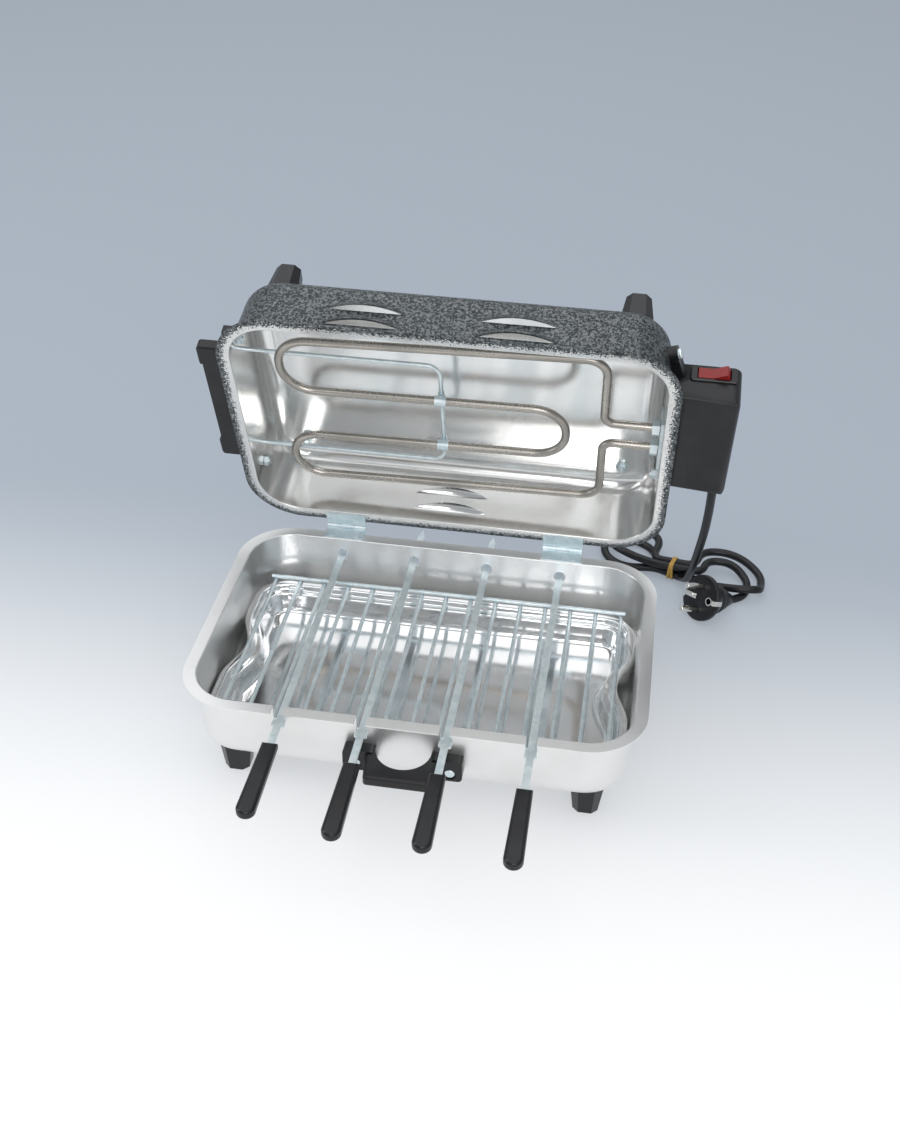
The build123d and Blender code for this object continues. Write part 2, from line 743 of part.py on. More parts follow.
for start, place in ((box_hinge, box_screws[0]), (box_free, box_screws[1])):
    pad = place * extrude(Circle(box_ear / 2), amount=2 * box_ear_thickness, both=True)
    spot = place.origin
    web_run = abs(spot.Y - start) + box_wall
    web = Pos(spot.X, (spot.Y + start) / 2, -box_ear_depth) * Box(4 * box_ear_thickness, web_run, box_ear)
    trim = Box(4 * box_ear, 2 * web_run + box_ear, 8 * box_ear_thickness, align=up)
    ears += [pad + web - place * Pos(0, 0, box_ear_thickness) * trim]
control_box = box_solid + ears - room - outside
for place in box_screws:
    lid_pan -= wall_bore(place, screw_diameter + bolt_slip, flange_width)
    control_box -= wall_bore(place, screw_diameter + bolt_slip, 8 * box_ear_thickness)
on_lid("control_box_screws", *[wall_screw(place, box_ear_thickness) for place in box_screws])
on_lid("control_box_nuts", wall_nut(box_screws[0]), wall_nut(box_screws[1], corner_stand))

# Switch in the box's free end and its rocker, tipped at its outer end
bezel_place = Plane(origin=(bezel_x, box_free, -switch_depth), x_dir=(1, 0, 0), z_dir=(0, 1, 0))
body_plan = Rectangle(switch_length, switch_height)
bezel = extrude(RectangleRounded(bezel_length, bezel_height, bezel_corner), amount=bezel_rise)
bezel = chamfer(bezel.faces().sort_by(Axis.Z)[-1].outer_wire().edges(), bezel_edge)
switch = bezel + extrude(body_plan, amount=-switch_body)
pivot = Pos(0, 0, bezel_rise - rocker_pivot)
pocket_depth = rocker_room + rocker_pivot
pocket = Rectangle(2 * (rocker_radius + running), rocker_height + 2 * running)
switch -= Pos(0, 0, bezel_rise - pocket_depth) * extrude(pocket, amount=2 * pocket_depth)
switch -= pivot * Rot(90, 0, 0) * Cylinder(trunnion / 2 + slip, rocker_height + 4 * trunnion_length)
on_lid("switch_body", bezel_place * switch)
opening = Rectangle(switch_length + 2 * slip, switch_height + 2 * slip)
control_box -= bezel_place * extrude(opening, amount=2 * box_wall, both=True)
rise = rocker_crown + rocker_radius * tan(radians(rocker_tilt))
rocker_profile = make_face(
    Polyline(
        (-rocker_radius, -rocker_base),
        (rocker_radius, -rocker_base),
        (rocker_radius, rise),
        (0, rocker_crown),
        (-rocker_radius, rise),
        close=True,
    )
)
rocker_profile = rocker_profile & Circle(rocker_radius)
rocker = extrude(rocker_profile, amount=rocker_height / 2, both=True)
rocker += Cylinder(trunnion / 2, rocker_height + 2 * trunnion_length)
rocker_place = bezel_place * pivot * Rot(90, 0, 0)
on_lid("rocker", rocker_place * Rot(0, 0, rocker_tilt) * rocker)

# Cord bush through the box's hinge end
collar_face = -box_wall - slip
bush_profile = make_face(
    Polyline(
        (0, collar_face - bush_tail), (bush_collar, collar_face - bush_tail), (bush_collar, collar_face),
        (bush_root, collar_face), (bush_root, 0), (bush_collar, 0), (bush_collar, bush_length / 2),
        (bush_tip, bush_length), (0, bush_length), close=True,
    )
)
bush_place = Pos(cord_x, box_hinge, -bush_depth) * Rot(90, 0, 0)
on_lid("cord_bush", bush_place * revolve(Plane.XZ * bush_profile, axis=Axis.Z))
control_box -= bush_place * Cylinder(bush_root + slip, 4 * box_wall)
on_lid("control_box", control_box)
on_lid("lid_pan", lid_pan)


# A knot of the looped cord is a point and a heading
def knot(x, y, z, angle):
    return Vector(x, y, z), Vector(cos(radians(angle)), sin(radians(angle)), 0)


def tangent_piece(start, heading, end):
    if heading.cross((end - start).normalized()).length < 1e-4:
        return [Line(start, end)]
    return [TangentArc(start, end, tangent=heading)]


# Two tangent arcs from one knot to the next
def biarc(start, start_heading, end, end_heading):
    chord = end - start
    pull = chord.dot(start_heading + end_heading)
    turn = 2 * (1 - start_heading.dot(end_heading))
    if turn < 1e-6:
        reach = chord.dot(chord) / (4 * chord.dot(end_heading))
    else:
        reach = (sqrt(pull * pull + turn * chord.dot(chord)) - pull) / turn
    first = start + start_heading * reach
    second = end - end_heading * reach
    middle = (first + second) / 2
    middle_heading = (second - first).normalized()
    return tangent_piece(start, start_heading, middle) + tangent_piece(middle, middle_heading, end)


def route(knots):
    edges = []
    for (start, start_heading), (end, end_heading) in zip(knots, knots[1:]):
        edges += biarc(start, start_heading, end, end_heading)
    return Wire(edges)


# Plug lies tipped on the floor: plug_back points from the pin face to the cord
yaw = radians(plug_yaw)
pitch = radians(plug_pitch)
roll = radians(plug_roll)
face_radius = plug_diameter / 2
plug_back = Vector(cos(yaw) * cos(pitch), sin(yaw) * cos(pitch), -sin(pitch))
plug_side = Vector(-sin(yaw), cos(yaw), 0)
plug_line = plug_side * cos(roll) + plug_back.cross(plug_side) * sin(roll)
plug_z = face_radius * cos(pitch) + plug_rim * sin(pitch) + floor_gap
plug_place = Plane(origin=(plug_x, plug_y, plug_z), x_dir=plug_line, z_dir=plug_back)
plug_profile = make_face(
    Polyline(
        (0, 0),
        (face_radius, 0),
        (face_radius, plug_rim),
        (plug_neck / 2, plug_length),
        (0, plug_length),
        close=True,
    )
)
plug_body = revolve(Plane.XZ * plug_profile, axis=Axis.Z)
plug_pins = []
earth_strips = []
for side in (-1, 1):
    pin = Cylinder(pin_diameter / 2, pin_length + pin_root, align=up)
    pin = fillet(pin.faces().sort_by(Axis.Z)[0].edges(), pin_diameter / 4)
    pin = Pos(side * pin_pitch / 2, 0, -pin_length) * pin
    plug_pins += [plug_place * pin]
    plug_body -= Pos(side * pin_pitch / 2, 0, 0) * Cylinder(pin_diameter / 2, pin_root, align=up)
    groove_floor = side * (face_radius - groove_depth)
    plug_body -= Pos(0, groove_floor + side * groove_depth, 0) * Box(
        groove_width, 2 * groove_depth, groove_length, align=up
    )
    strip = Box(strip_width, strip_sheet, groove_length, align=up)
    earth_strips += [plug_place * Pos(0, groove_floor + side * strip_sheet / 2, 0) * strip]
plug_body -= Pos(0, earth_offset, 0) * Cylinder(earth_diameter / 2, earth_depth, align=up)
nodes["plug_body"] = plug_place * plug_body
nodes["plug_pins"] = Compound(children=plug_pins)
nodes["plug_earth"] = Compound(children=earth_strips)

# Strand heights and the two knots of a strand through the band
cord_radius = cord_diameter / 2
floor_z = cord_radius + floor_gap
band_low = floor_z + band_sheet + running
band_top = band_low + layer_pitch
between = (floor_z + band_top) / 2 - loop_dip


def band_knots(side, z, heading):
    run = knot(0, 0, 0, heading)[1]
    fore = knot(0, 0, 0, heading + (90 if heading > 90 else -90))[1]
    spot = Vector(band_x, band_y, z) + fore * (side * strand_pitch / 2)
    return [(spot - run * strand_straight, run), (spot + run * strand_straight, run)]


# Half-round end of a loop on the left of the band: sense 1 goes from front to back, -1 from back to front
def left_turn(radius, reach, sense):
    along = knot(0, 0, 0, loop_angle)[1]
    across = knot(0, 0, 0, loop_angle + 90)[1] * sense
    centre = Vector(band_x, band_y, 0) + along * (reach - radius)
    spots = (centre + across * radius, centre + along * radius, centre - across * radius)
    heights = (floor_z, between, band_top)
    return [knot(p.X, p.Y, z, loop_angle - 90 * sense * i) for i, (p, z) in enumerate(zip(spots, heights))]


# Hank: in at the front, outer left loop, right loop over the plug's lead, inner left loop, out at the top
cord_meet = Vector(183.2, 175.4, 21.4)
cord_fall = Vector(-1.1, 8, -11.6).normalized()
hank_knots = [(cord_meet, cord_fall), (cord_meet + cord_fall * cord_diameter, cord_fall)]
hank_knots += band_knots(1, band_low, low_angle)
hank_knots += left_turn(outer_loop_radius, outer_loop_reach, 1)
hank_knots += band_knots(-1, band_top, top_angle - 180)
hank_knots += [
    knot(208, 227.4, 9.5, 0),
    knot(243, 196.4, floor_z + 0.5, -90),
    knot(232, 177.4, 10.8, -175),
    knot(190, 192.4, floor_z + 0.3, 153),
]
hank_knots += band_knots(-1, band_low, low_angle)
hank_knots += left_turn(inner_loop_radius, inner_loop_reach, -1)
hank_knots += band_knots(1, band_top, top_angle - 180)
hank_path = route(hank_knots)
nodes["cord_hank"] = rod_along(hank_path, cord_diameter)

# Lead from the hank to the plug
plug_exit = plug_place.origin + plug_back * plug_length
ease = (plug_exit.Z - floor_z) / tan(pitch / 2)
lead_knots = [
    hank_knots[-1],
    knot(184, 194.7, 11.7, -6),
    knot(209, 213.9, 9.5, 0),
    knot(231.5, 191.4, floor_z, -90),
    knot(plug_exit.X + ease * cos(yaw), plug_exit.Y + ease * sin(yaw), floor_z, plug_yaw - 180),
    (plug_exit, plug_back * -1),
]
lead_path = route(lead_knots)
nodes["plug_lead"] = rod_along(lead_path, cord_diameter)

# Free cord: down from the bush to the floor and into the band
cord_start = (lid_place * Pos(cord_x, box_hinge - bush_length, -bush_depth)).position
cord_below = (lid_place * Pos(cord_x, box_hinge - bush_length - cord_drop, -bush_depth)).position
cord_points = [
    cord_start,
    cord_below,
    Vector(187.6, 120.4, 118.9),
    Vector(187.4, 131.8, 94),
    Vector(186.3, 145.7, 69.2),
    Vector(185.2, 157.9, 48),
    cord_meet - cord_fall * cord_end,
    cord_meet,
]


# Each arc takes the same share of its shorter run
def tube_radii(points):
    radii = []
    for before, here, after in zip(points, points[1:], points[2:]):
        turn = radians((here - before).get_angle(after - here))
        radii += [arc_share * min((here - before).length, (after - here).length) / tan(turn / 2)]
    return radii


cord_radii = tube_radii(cord_points)
cord_path = FilletPolyline(*cord_points, radius=cord_radii)
nodes["power_cord"] = rod_along(cord_path, cord_diameter)

# Rubber band round the four strands
spread = (top_angle - low_angle) / 2
bundle_width = strand_pitch + cord_diameter + 2 * running + band_width * tan(radians(spread))
bundle_height = layer_pitch + cord_diameter + 2 * running
band_outline = RectangleRounded(
    bundle_width + 2 * band_sheet, bundle_height + 2 * band_sheet, cord_radius + band_sheet
)
band_outline -= RectangleRounded(bundle_width, bundle_height, cord_radius)
band_run = knot(0, 0, 0, low_angle + spread)[1]
band_middle = (band_x, band_y, (band_low + band_top) / 2)
band_place = Plane(origin=band_middle, x_dir=Vector(0, 0, 1).cross(band_run), z_dir=band_run)
nodes["rubber_band"] = band_place * extrude(band_outline, amount=band_width / 2, both=True)

# Cord figures: radii, volume against section times length, least gap between the strands
print("cord radii", [round(r, 1) for r in cord_radii])
for name, path in (("power_cord", cord_path), ("cord_hank", hank_path), ("plug_lead", lead_path)):
    section = pi * cord_radius * cord_radius
    ratio = nodes[name].volume / (section * path.length)
    print(name, "length", round(path.length, 1), "volume ratio", round(ratio, 5))


def along_path(path):
    count = int(path.length / sample_step)
    return [path.position_at(i / count) for i in range(count + 1)]


strand = along_path(hank_path) + along_path(lead_path)
gaps = [(a - b).length for i, a in enumerate(strand) for b in strand[i + sample_skip:]]
print("least strand gap", round(min(gaps) - cord_diameter, 2))

# Origin under the middle of the grill without its cord
cord_names = ("power_cord", "cord_hank", "plug_lead", "rubber_band", "plug_body", "plug_pins", "plug_earth")
boxes = [shape.bounding_box() for name, shape in nodes.items() if name not in cord_names]
low = Vector(*[min(getattr(b.min, axis) for b in boxes) for axis in "XYZ"])
high = Vector(*[max(getattr(b.max, axis) for b in boxes) for axis in "XYZ"])
home = Pos(-(low.X + high.X) / 2, -(low.Y + high.Y) / 2, -low.Z)
print("shift", home.position, "size", high - low)

os.makedirs("parts", exist_ok=True)
for name, shape in nodes.items():
    export_step(home * shape, f"parts/{name}.step")
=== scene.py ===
import json
import math

import bpy
from mathutils import Matrix, Quaternion, Vector


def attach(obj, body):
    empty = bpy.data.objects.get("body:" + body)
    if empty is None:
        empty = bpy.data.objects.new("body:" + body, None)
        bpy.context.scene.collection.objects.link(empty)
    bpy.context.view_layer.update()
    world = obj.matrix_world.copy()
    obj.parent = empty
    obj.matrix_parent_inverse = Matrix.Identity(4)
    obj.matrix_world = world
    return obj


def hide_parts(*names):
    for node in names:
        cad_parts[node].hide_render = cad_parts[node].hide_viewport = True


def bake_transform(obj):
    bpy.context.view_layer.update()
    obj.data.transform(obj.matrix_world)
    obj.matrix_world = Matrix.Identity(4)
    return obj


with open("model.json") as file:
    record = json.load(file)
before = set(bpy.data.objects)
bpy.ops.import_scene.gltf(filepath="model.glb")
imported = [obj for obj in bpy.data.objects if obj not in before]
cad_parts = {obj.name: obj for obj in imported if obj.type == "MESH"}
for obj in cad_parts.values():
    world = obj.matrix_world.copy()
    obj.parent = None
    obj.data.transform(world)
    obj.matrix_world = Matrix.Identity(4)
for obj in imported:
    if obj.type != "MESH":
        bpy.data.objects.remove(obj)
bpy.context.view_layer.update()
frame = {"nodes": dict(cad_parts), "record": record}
nodes = frame["nodes"]
mm = 0.001  # the dictionaries of the pieces are in mm and degrees
panMiddle = Vector((-8.75, 10.828, 0))  # where the pan's middle stands in the frame
print("frame loaded:", len(nodes), "nodes")


def linked(name, data):
    thing = bpy.data.objects.new(name, data)
    bpy.context.scene.collection.objects.link(thing)
    return thing


def aimed(place, target):
    return (Vector(target) - Vector(place)).to_track_quat("-Z", "Y")


# camera first: same spot as the photo, slightly rolled
cameraView = {
    "place": (117.65, -759.74, 699.8),
    "target": (5.05, 10.86, 135.8),
    "roll": 1.197,
    "lens": 45.645,
    "sensor": 36.0,
}


def makeCamera():
    view = cameraView
    data = bpy.data.cameras.new("grillCamera")
    data.lens = view["lens"]
    data.sensor_width = view["sensor"]
    camera = linked("grillCamera", data)
    roll = Quaternion((0, 0, 1), math.radians(view["roll"]))
    camera.location = Vector(view["place"]) * mm
    camera.rotation_mode = "QUATERNION"
    camera.rotation_quaternion = aimed(view["place"], view["target"]) @ roll
    bpy.context.scene.camera = camera


makeCamera()
print("camera placed")


def nothingSelected():
    if bpy.context.object and bpy.context.object.mode != "OBJECT":
        bpy.ops.object.mode_set(mode="OBJECT")
    bpy.ops.object.select_all(action="DESELECT")


def onlySelected(piece):
    nothingSelected()
    bpy.context.view_layer.objects.active = piece
    piece.select_set(True)


def applyAll(piece):
    onlySelected(piece)
    for modifier in list(piece.modifiers):
        bpy.ops.object.modifier_apply(modifier=modifier.name)
    bpy.ops.object.transform_apply(location=True, rotation=True, scale=True)


def addCylinder(sides, radius, low, high, x=0, y=0):
    nothingSelected()
    middle = (x * mm, y * mm, (low + high) / 2 * mm)
    bpy.ops.mesh.primitive_cylinder_add(
        vertices=sides, radius=radius * mm, depth=(high - low) * mm, location=middle
    )
    bpy.ops.object.transform_apply(location=True)
    return bpy.context.object


def addBlock(size, middle=(0, 0, 0)):
    nothingSelected()
    bpy.ops.mesh.primitive_cube_add(size=1, location=[v * mm for v in middle])
    block = bpy.context.object
    block.scale = [v * mm for v in size]
    bpy.ops.object.transform_apply(location=True, scale=True)
    return block


# goes to edit mode with just the wanted faces or edges selected
def choose(piece, kind, wanted):
    bpy.ops.object.mode_set(mode="EDIT")
    bpy.ops.mesh.select_mode(type=kind)
    bpy.ops.mesh.select_all(action="DESELECT")
    bpy.ops.object.mode_set(mode="OBJECT")
    parts = piece.data.polygons if kind == "FACE" else piece.data.edges
    for part in parts:
        part.select = wanted(part)
    bpy.ops.object.mode_set(mode="EDIT")


def chooseTop(piece):
    high = max(face.center.z for face in piece.data.polygons)
    choose(piece, "FACE", lambda face: face.center.z > high - 0.001 * mm and face.normal.z > 0.9)


def softEdges(piece, width, segments=2, angle=30):
    soft = piece.modifiers.new("soft", "BEVEL")
    soft.width = width * mm
    soft.segments = segments
    soft.angle_limit = math.radians(angle)


def thickened(piece, sheet):
    wall = piece.modifiers.new("wall", "SOLIDIFY")
    wall.thickness = sheet * mm
    wall.offset = -1


def cutBy(piece, cutter):
    cut = piece.modifiers.new("cut", "BOOLEAN")
    cut.operation = "DIFFERENCE"
    cut.solver = "EXACT"
    cut.object = cutter
    onlySelected(piece)
    bpy.ops.object.modifier_apply(modifier="cut")
    bpy.data.objects.remove(cutter)


def joined(pieces, name):
    nothingSelected()
    for piece in pieces:
        piece.select_set(True)
    bpy.context.view_layer.objects.active = pieces[0]
    bpy.ops.object.join()
    bpy.context.object.name = name
    return bpy.context.object


# one value of a shader, so that maths reads as maths
class Sock:
    def __init__(self, finish, socket):
        self.finish = finish
        self.socket = socket

    def maths(self, operation, other=None, swapped=False, clamp=False):
        sides = [self] if other is None else [other, self] if swapped else [self, other]
        return self.finish.node("Math", {"operation": operation, "use_clamp": clamp}, dict(enumerate(sides)))

    def __add__(self, other):
        return self.maths("ADD", other)

    def __radd__(self, other):
        return self.maths("ADD", other)

    def __sub__(self, other):
        return self.maths("SUBTRACT", other)

    def __rsub__(self, other):
        return self.maths("SUBTRACT", other, swapped=True)

    def __mul__(self, other):
        return self.maths("MULTIPLY", other)

    def __rmul__(self, other):
        return self.maths("MULTIPLY", other)

    def __gt__(self, other):
        return self.maths("GREATER_THAN", other)

    def clamped(self):
        return self.maths("ADD", 0.0, clamp=True)

    def either(self, other):
        return self.maths("MAXIMUM", other)

    def least(self, other):
        return self.maths("MINIMUM", other)

    def size(self):
        return self.maths("ABSOLUTE")

    def root(self):
        return self.maths("SQRT")

    # 0 below low, 1 above high, smooth between
    def rising(self, low, high):
        sockets = {"Value": self, "From Min": low, "From Max": high}
        return self.finish.node("MapRange", {"interpolation_type": "SMOOTHSTEP"}, sockets)


class Finish:
    def __init__(self, name):
        self.material = bpy.data.materials.new(name)
        self.material.use_nodes = True
        self.tree = self.material.node_tree
        self.tree.nodes.clear()

    def put(self, place, value):
        if isinstance(value, Sock):
            self.tree.links.new(value.socket, place)
        else:
            place.default_value = value

    def node(self, kind, settings=None, sockets=None, out=0):
        made = self.tree.nodes.new("ShaderNode" + kind)
        for key, value in (settings or {}).items():
            setattr(made, key, value)
        for key, value in (sockets or {}).items():
            self.put(made.inputs[key], value)
        return Sock(self, made.outputs[out]) if made.outputs else None

    def place(self):
        return self.node("TexCoord", out="Object")

    def stretched(self, scale):
        return self.node("Mapping", {}, {"Vector": self.place(), "Scale": scale})

    def noise(self, scale, detail=3.0, rough=0.5, twist=0.0, at=None):
        sockets = {"Scale": scale, "Detail": detail, "Roughness": rough, "Distortion": twist}
        return self.node("TexNoise", {}, {"Vector": at or self.place(), **sockets})

    # the colour version of Mix has its colours in sockets 6 and 7 and gives them out in 2
    def mix(self, share, low, high):
        low, high = (c if isinstance(c, Sock) else (*c, 1) for c in (low, high))
        return self.node("Mix", {"data_type": "RGBA"}, {0: share, 6: low, 7: high}, out=2)

    def bump(self, height, depth, strength):
        return self.node("Bump", {}, {"Height": height, "Distance": depth * mm, "Strength": strength})

    def shade(self, sockets):
        shader = self.node("BsdfPrincipled", {}, sockets)
        self.node("OutputMaterial", {}, {"Surface": shader})
        return self.material


# lid as it stands: middle of its rim, its turn about X, half sizes of its flange, and the spray on it
lidFrame = {
    "middle": (-8.75, 86.6, 183.53),
    "turn": 109.4,
    "lookFrom": 25.0,  # a point this far in front of the lid's mouth sees only its inside
    "half": (156, 105),
    "corner": 40,
    "faceFrom": -0.2,
    "sprayWidth": 10.0,
    "sprayEdge": 0.2,
    "speckle": 2.2,
    "sprayCut": (0.55, 0.7),
}
lidTurn = math.radians(lidFrame["turn"])
lidMiddle = Vector(lidFrame["middle"]) * mm
lidPlace = Matrix.Translation(lidMiddle) @ Matrix.Rotation(lidTurn, 4, "X")


# 1 on the outside of the lid, spray that thins out over the flange's face, 0 on its inside
def paintedSide(finish, speck):
    d = lidFrame
    asTexture = {"vector_type": "TEXTURE"}
    turn = (lidTurn, 0, 0)
    onLid = {"Vector": finish.place(), "Location": lidMiddle, "Rotation": turn}
    spot = finish.node("Mapping", asTexture, onLid)
    normal = finish.node("TexCoord", out="Normal")
    facing = finish.node("Mapping", asTexture, {"Vector": normal, "Rotation": turn})
    away = finish.node("VectorMath", {"operation": "SUBTRACT"}, {0: spot, 1: (0, 0, d["lookFrom"] * mm)})
    along = finish.node("VectorMath", {"operation": "DOT_PRODUCT"}, {0: away, 1: facing}, out="Value")
    outward = along > 0.0
    x, y, z = (finish.node("SeparateXYZ", {}, {0: spot}, out=axis) for axis in "XYZ")
    # distance from the flange's outer edge, a rectangle with round corners
    corner = d["corner"] * mm
    overX = x.size() - (d["half"][0] * mm - corner)
    overY = y.size() - (d["half"][1] * mm - corner)
    roundX = overX.either(0.0)
    roundY = overY.either(0.0)
    fromEdge = (roundX * roundX + roundY * roundY).root() + overX.either(overY).least(0.0) - corner
    face = z > d["faceFrom"] * mm
    near = fromEdge.rising(-d["sprayWidth"] * mm, -d["sprayEdge"] * mm)
    spray = (near + (speck - 0.5) * d["speckle"]).rising(*d["sprayCut"])
    return outward.either(face * spray)


# in all looks, cells are the pattern's scale per metre and bump is a depth in mm with its strength
lidLook = {
    "dark": (0.016, 0.022, 0.024),
    "green": (0.03, 0.055, 0.055),
    "pale": (0.17, 0.18, 0.19),
    "bare": (0.79, 0.79, 0.78),
    "stain": (0.64, 0.625, 0.595),
    "wormCells": 560.0,
    "fineCells": 1900.0,
    "patchCells": 26.0,
    "speckCells": 950.0,
    "rolledCells": (18, 420, 420),
    "stainCells": 22.0,
    "dentCells": 26.0,
    "paintMetal": 0.4,
    "paintRough": 0.36,
    "bareRough": 0.1,
    "bump": (0.3, 0.55),
}


def lidFinish():
    look = lidLook
    f = Finish("hammertoneLid")
    worm = f.noise(look["wormCells"], 1.2, 0.4, twist=0.9).rising(0.43, 0.6)
    fine = f.noise(look["fineCells"], 2.0)
    patch = f.noise(look["patchCells"], 2.0).rising(0.3, 0.75)
    painted = paintedSide(f, f.noise(look["speckCells"], 2.0))
    dark = f.mix(patch * 0.5, look["dark"], look["green"])
    paint = f.mix(worm * (0.72 + fine * 0.4), dark, look["pale"])
    rolled = f.noise(1.0, 4.0, at=f.stretched(look["rolledCells"]))
    stain = f.noise(look["stainCells"], 4.0)
    dents = f.noise(look["dentCells"], 1.0)
    bare = f.mix(stain.rising(0.5, 0.75) * 0.35, look["bare"], look["stain"])
    paintRough = look["paintRough"] - worm * 0.08
    bareRough = look["bareRough"] + stain * 0.1 + rolled * 0.08
    height = painted * worm + (1 - painted) * (rolled * 0.05 + dents * 0.5)
    return f.shade({
        "Base Color": f.mix(painted, bare, paint),
        "Metallic": 1 - painted * (1 - look["paintMetal"]),
        "Roughness": painted * paintRough + (1 - painted) * bareRough,
        "Normal": f.bump(height, *look["bump"]),
    })


satinLook = {
    "colour": (0.87, 0.87, 0.865),
    "stain": (0.74, 0.74, 0.73),
    "drawnCells": (12, 30, 700),
    "stainCells": 16.0,
    "fineCells": 900.0,
    "metal": 0.92,
    "rough": 0.32,
    "bump": (0.12, 0.3),
}


def satinFinish():
    look = satinLook
    f = Finish("satinSheet")
    drawn = f.noise(1.0, 4.0, 0.6, at=f.stretched(look["drawnCells"]))
    stain = f.noise(look["stainCells"], 4.0)
    fine = f.noise(look["fineCells"], 2.0)
    return f.shade({
        "Base Color": f.mix(stain.rising(0.45, 0.75) * 0.5, look["colour"], look["stain"]),
        "Metallic": look["metal"],
        "Roughness": look["rough"] + (drawn - 0.5) * 0.12 + (stain - 0.5) * 0.1,
        "Normal": f.bump(drawn * 0.5 + fine * 0.5, *look["bump"]),
    })


mirrorLook = {"colour": (0.9, 0.9, 0.905), "smear": (0.76, 0.75, 0.73), "smearCells": 60.0, "rough": 0.09}


def mirrorFinish():
    look = mirrorLook
    f = Finish("mirrorTray")
    smear = f.noise(look["smearCells"], 4.0)
    return f.shade({
        "Base Color": f.mix(smear.rising(0.55, 0.8) * 0.3, look["colour"], look["smear"]),
        "Metallic": 1.0,
        "Roughness": look["rough"] + smear.rising(0.5, 0.8) * 0.08,
    })


zincLook = {
    "colour": (0.66, 0.755, 0.79),
    "spangle": (0.79, 0.86, 0.88),
    "flakeCells": 260.0,
    "cloudCells": 90.0,
    "metal": 0.8,
    "rough": 0.34,
    "bump": (0.12, 0.35),
}


def zincFinish():
    look = zincLook
    f = Finish("zincSteel")
    flake = f.node("TexVoronoi", {}, {"Vector": f.place(), "Scale": look["flakeCells"]}, out="Color")
    tone = f.node("SeparateXYZ", {}, {0: flake})
    cloud = f.noise(look["cloudCells"], 3.0)
    return f.shade({
        "Base Color": f.mix((tone * 0.5 + cloud * 0.5).rising(0.25, 0.8), look["colour"], look["spangle"]),
        "Metallic": look["metal"],
        "Roughness": look["rough"] + (cloud - 0.5) * 0.16,
        "Normal": f.bump(cloud, *look["bump"]),
    })


heaterLook = {
    "colour": (0.48, 0.45, 0.41),
    "bloom": (0.36, 0.335, 0.305),
    "bloomCells": 24.0,
    "fineCells": 700.0,
    "rough": 0.2,
    "bump": (0.04, 0.25),
}


def heaterFinish():
    look = heaterLook
    f = Finish("heaterTube")
    bloom = f.noise(look["bloomCells"], 3.0)
    fine = f.noise(look["fineCells"], 3.0)
    return f.shade({
        "Base Color": f.mix(bloom.rising(0.35, 0.7), look["colour"], look["bloom"]),
        "Metallic": 1.0,
        "Roughness": look["rough"] + bloom * 0.1 + fine * 0.06,
        "Normal": f.bump(fine, *look["bump"]),
    })


nickelLook = {
    "colour": (0.8, 0.78, 0.74),
    "tarnish": 0.75,
    "cloudCells": 320.0,
    "rough": 0.18,
    "bump": (0.1, 0.3),
}


def nickelFinish():
    look = nickelLook
    f = Finish("nickelPins")
    cloud = f.noise(look["cloudCells"], 3.0)
    dull = tuple(look["tarnish"] * c for c in look["colour"])
    return f.shade({
        "Base Color": f.mix(cloud.rising(0.4, 0.8) * 0.4, look["colour"], dull),
        "Metallic": 1.0,
        "Roughness": look["rough"] + (cloud - 0.5) * 0.14,
        "Normal": f.bump(cloud, *look["bump"]),
    })


# moulded plastics and rubbers share one finish, with their own colours, roughness and grain depth
mouldedLook = {"fineCells": 1500.0, "cloudCells": 45.0, "specular": 0.4, "bumpStrength": 0.4}
blackMoulding = {"colour": (0.006, 0.006, 0.007), "worn": (0.013, 0.013, 0.015), "rough": 0.3, "grain": 0.07}
redMoulding = {"colour": (0.27, 0.012, 0.011), "worn": (0.21, 0.012, 0.01), "rough": 0.22, "grain": 0.03}
cordSheath = {"colour": (0.006, 0.006, 0.008), "worn": (0.012, 0.012, 0.014), "rough": 0.36, "grain": 0.05}
yellowRubber = {"colour": (0.5, 0.3, 0.06), "worn": (0.4, 0.23, 0.05), "rough": 0.5, "grain": 0.06}


def mouldedFinish(name, tone):
    look = mouldedLook
    f = Finish(name)
    fine = f.noise(look["fineCells"], 2.0)
    cloud = f.noise(look["cloudCells"], 3.0)
    return f.shade({
        "Base Color": f.mix(cloud.rising(0.4, 0.75), tone["colour"], tone["worn"]),
        "Roughness": tone["rough"] + (cloud - 0.5) * 0.16,
        "Specular IOR Level": look["specular"],
        "Normal": f.bump(fine + cloud * 0.4, tone["grain"], look["bumpStrength"]),
    })


# the finish of each material slot of the record
finishes = {
    "lid_sheet": lidFinish(),
    "base_sheet": satinFinish(),
    "tray_sheet": mirrorFinish(),
    "zinc_steel": zincFinish(),
    "heater_tube": heaterFinish(),
    "bakelite": mouldedFinish("blackMoulding", blackMoulding),
    "red_rocker": mouldedFinish("redMoulding", redMoulding),
    "cord_rubber": mouldedFinish("cordSheath", cordSheath),
    "nickel": nickelFinish(),
    "yellow_band": mouldedFinish("yellowRubber", yellowRubber),
}


def coat(piece, slot):
    piece.data.materials.clear()
    piece.data.materials.append(finishes[slot])


# smooth shading with crisp edges above an angle; even takes the dents out of flat faces
def smooth(piece, angle, even=False):
    onlySelected(piece)
    bpy.ops.object.shade_smooth_by_angle(angle=math.radians(angle))
    if even:
        weighted = piece.modifiers.new("even", "WEIGHTED_NORMAL")
        weighted.keep_sharp = True
        applyAll(piece)


for row in frame["record"]["subparts"]:
    coat(nodes[row["node"]], row["material_slot"])
print("finishes made:", len(finishes))

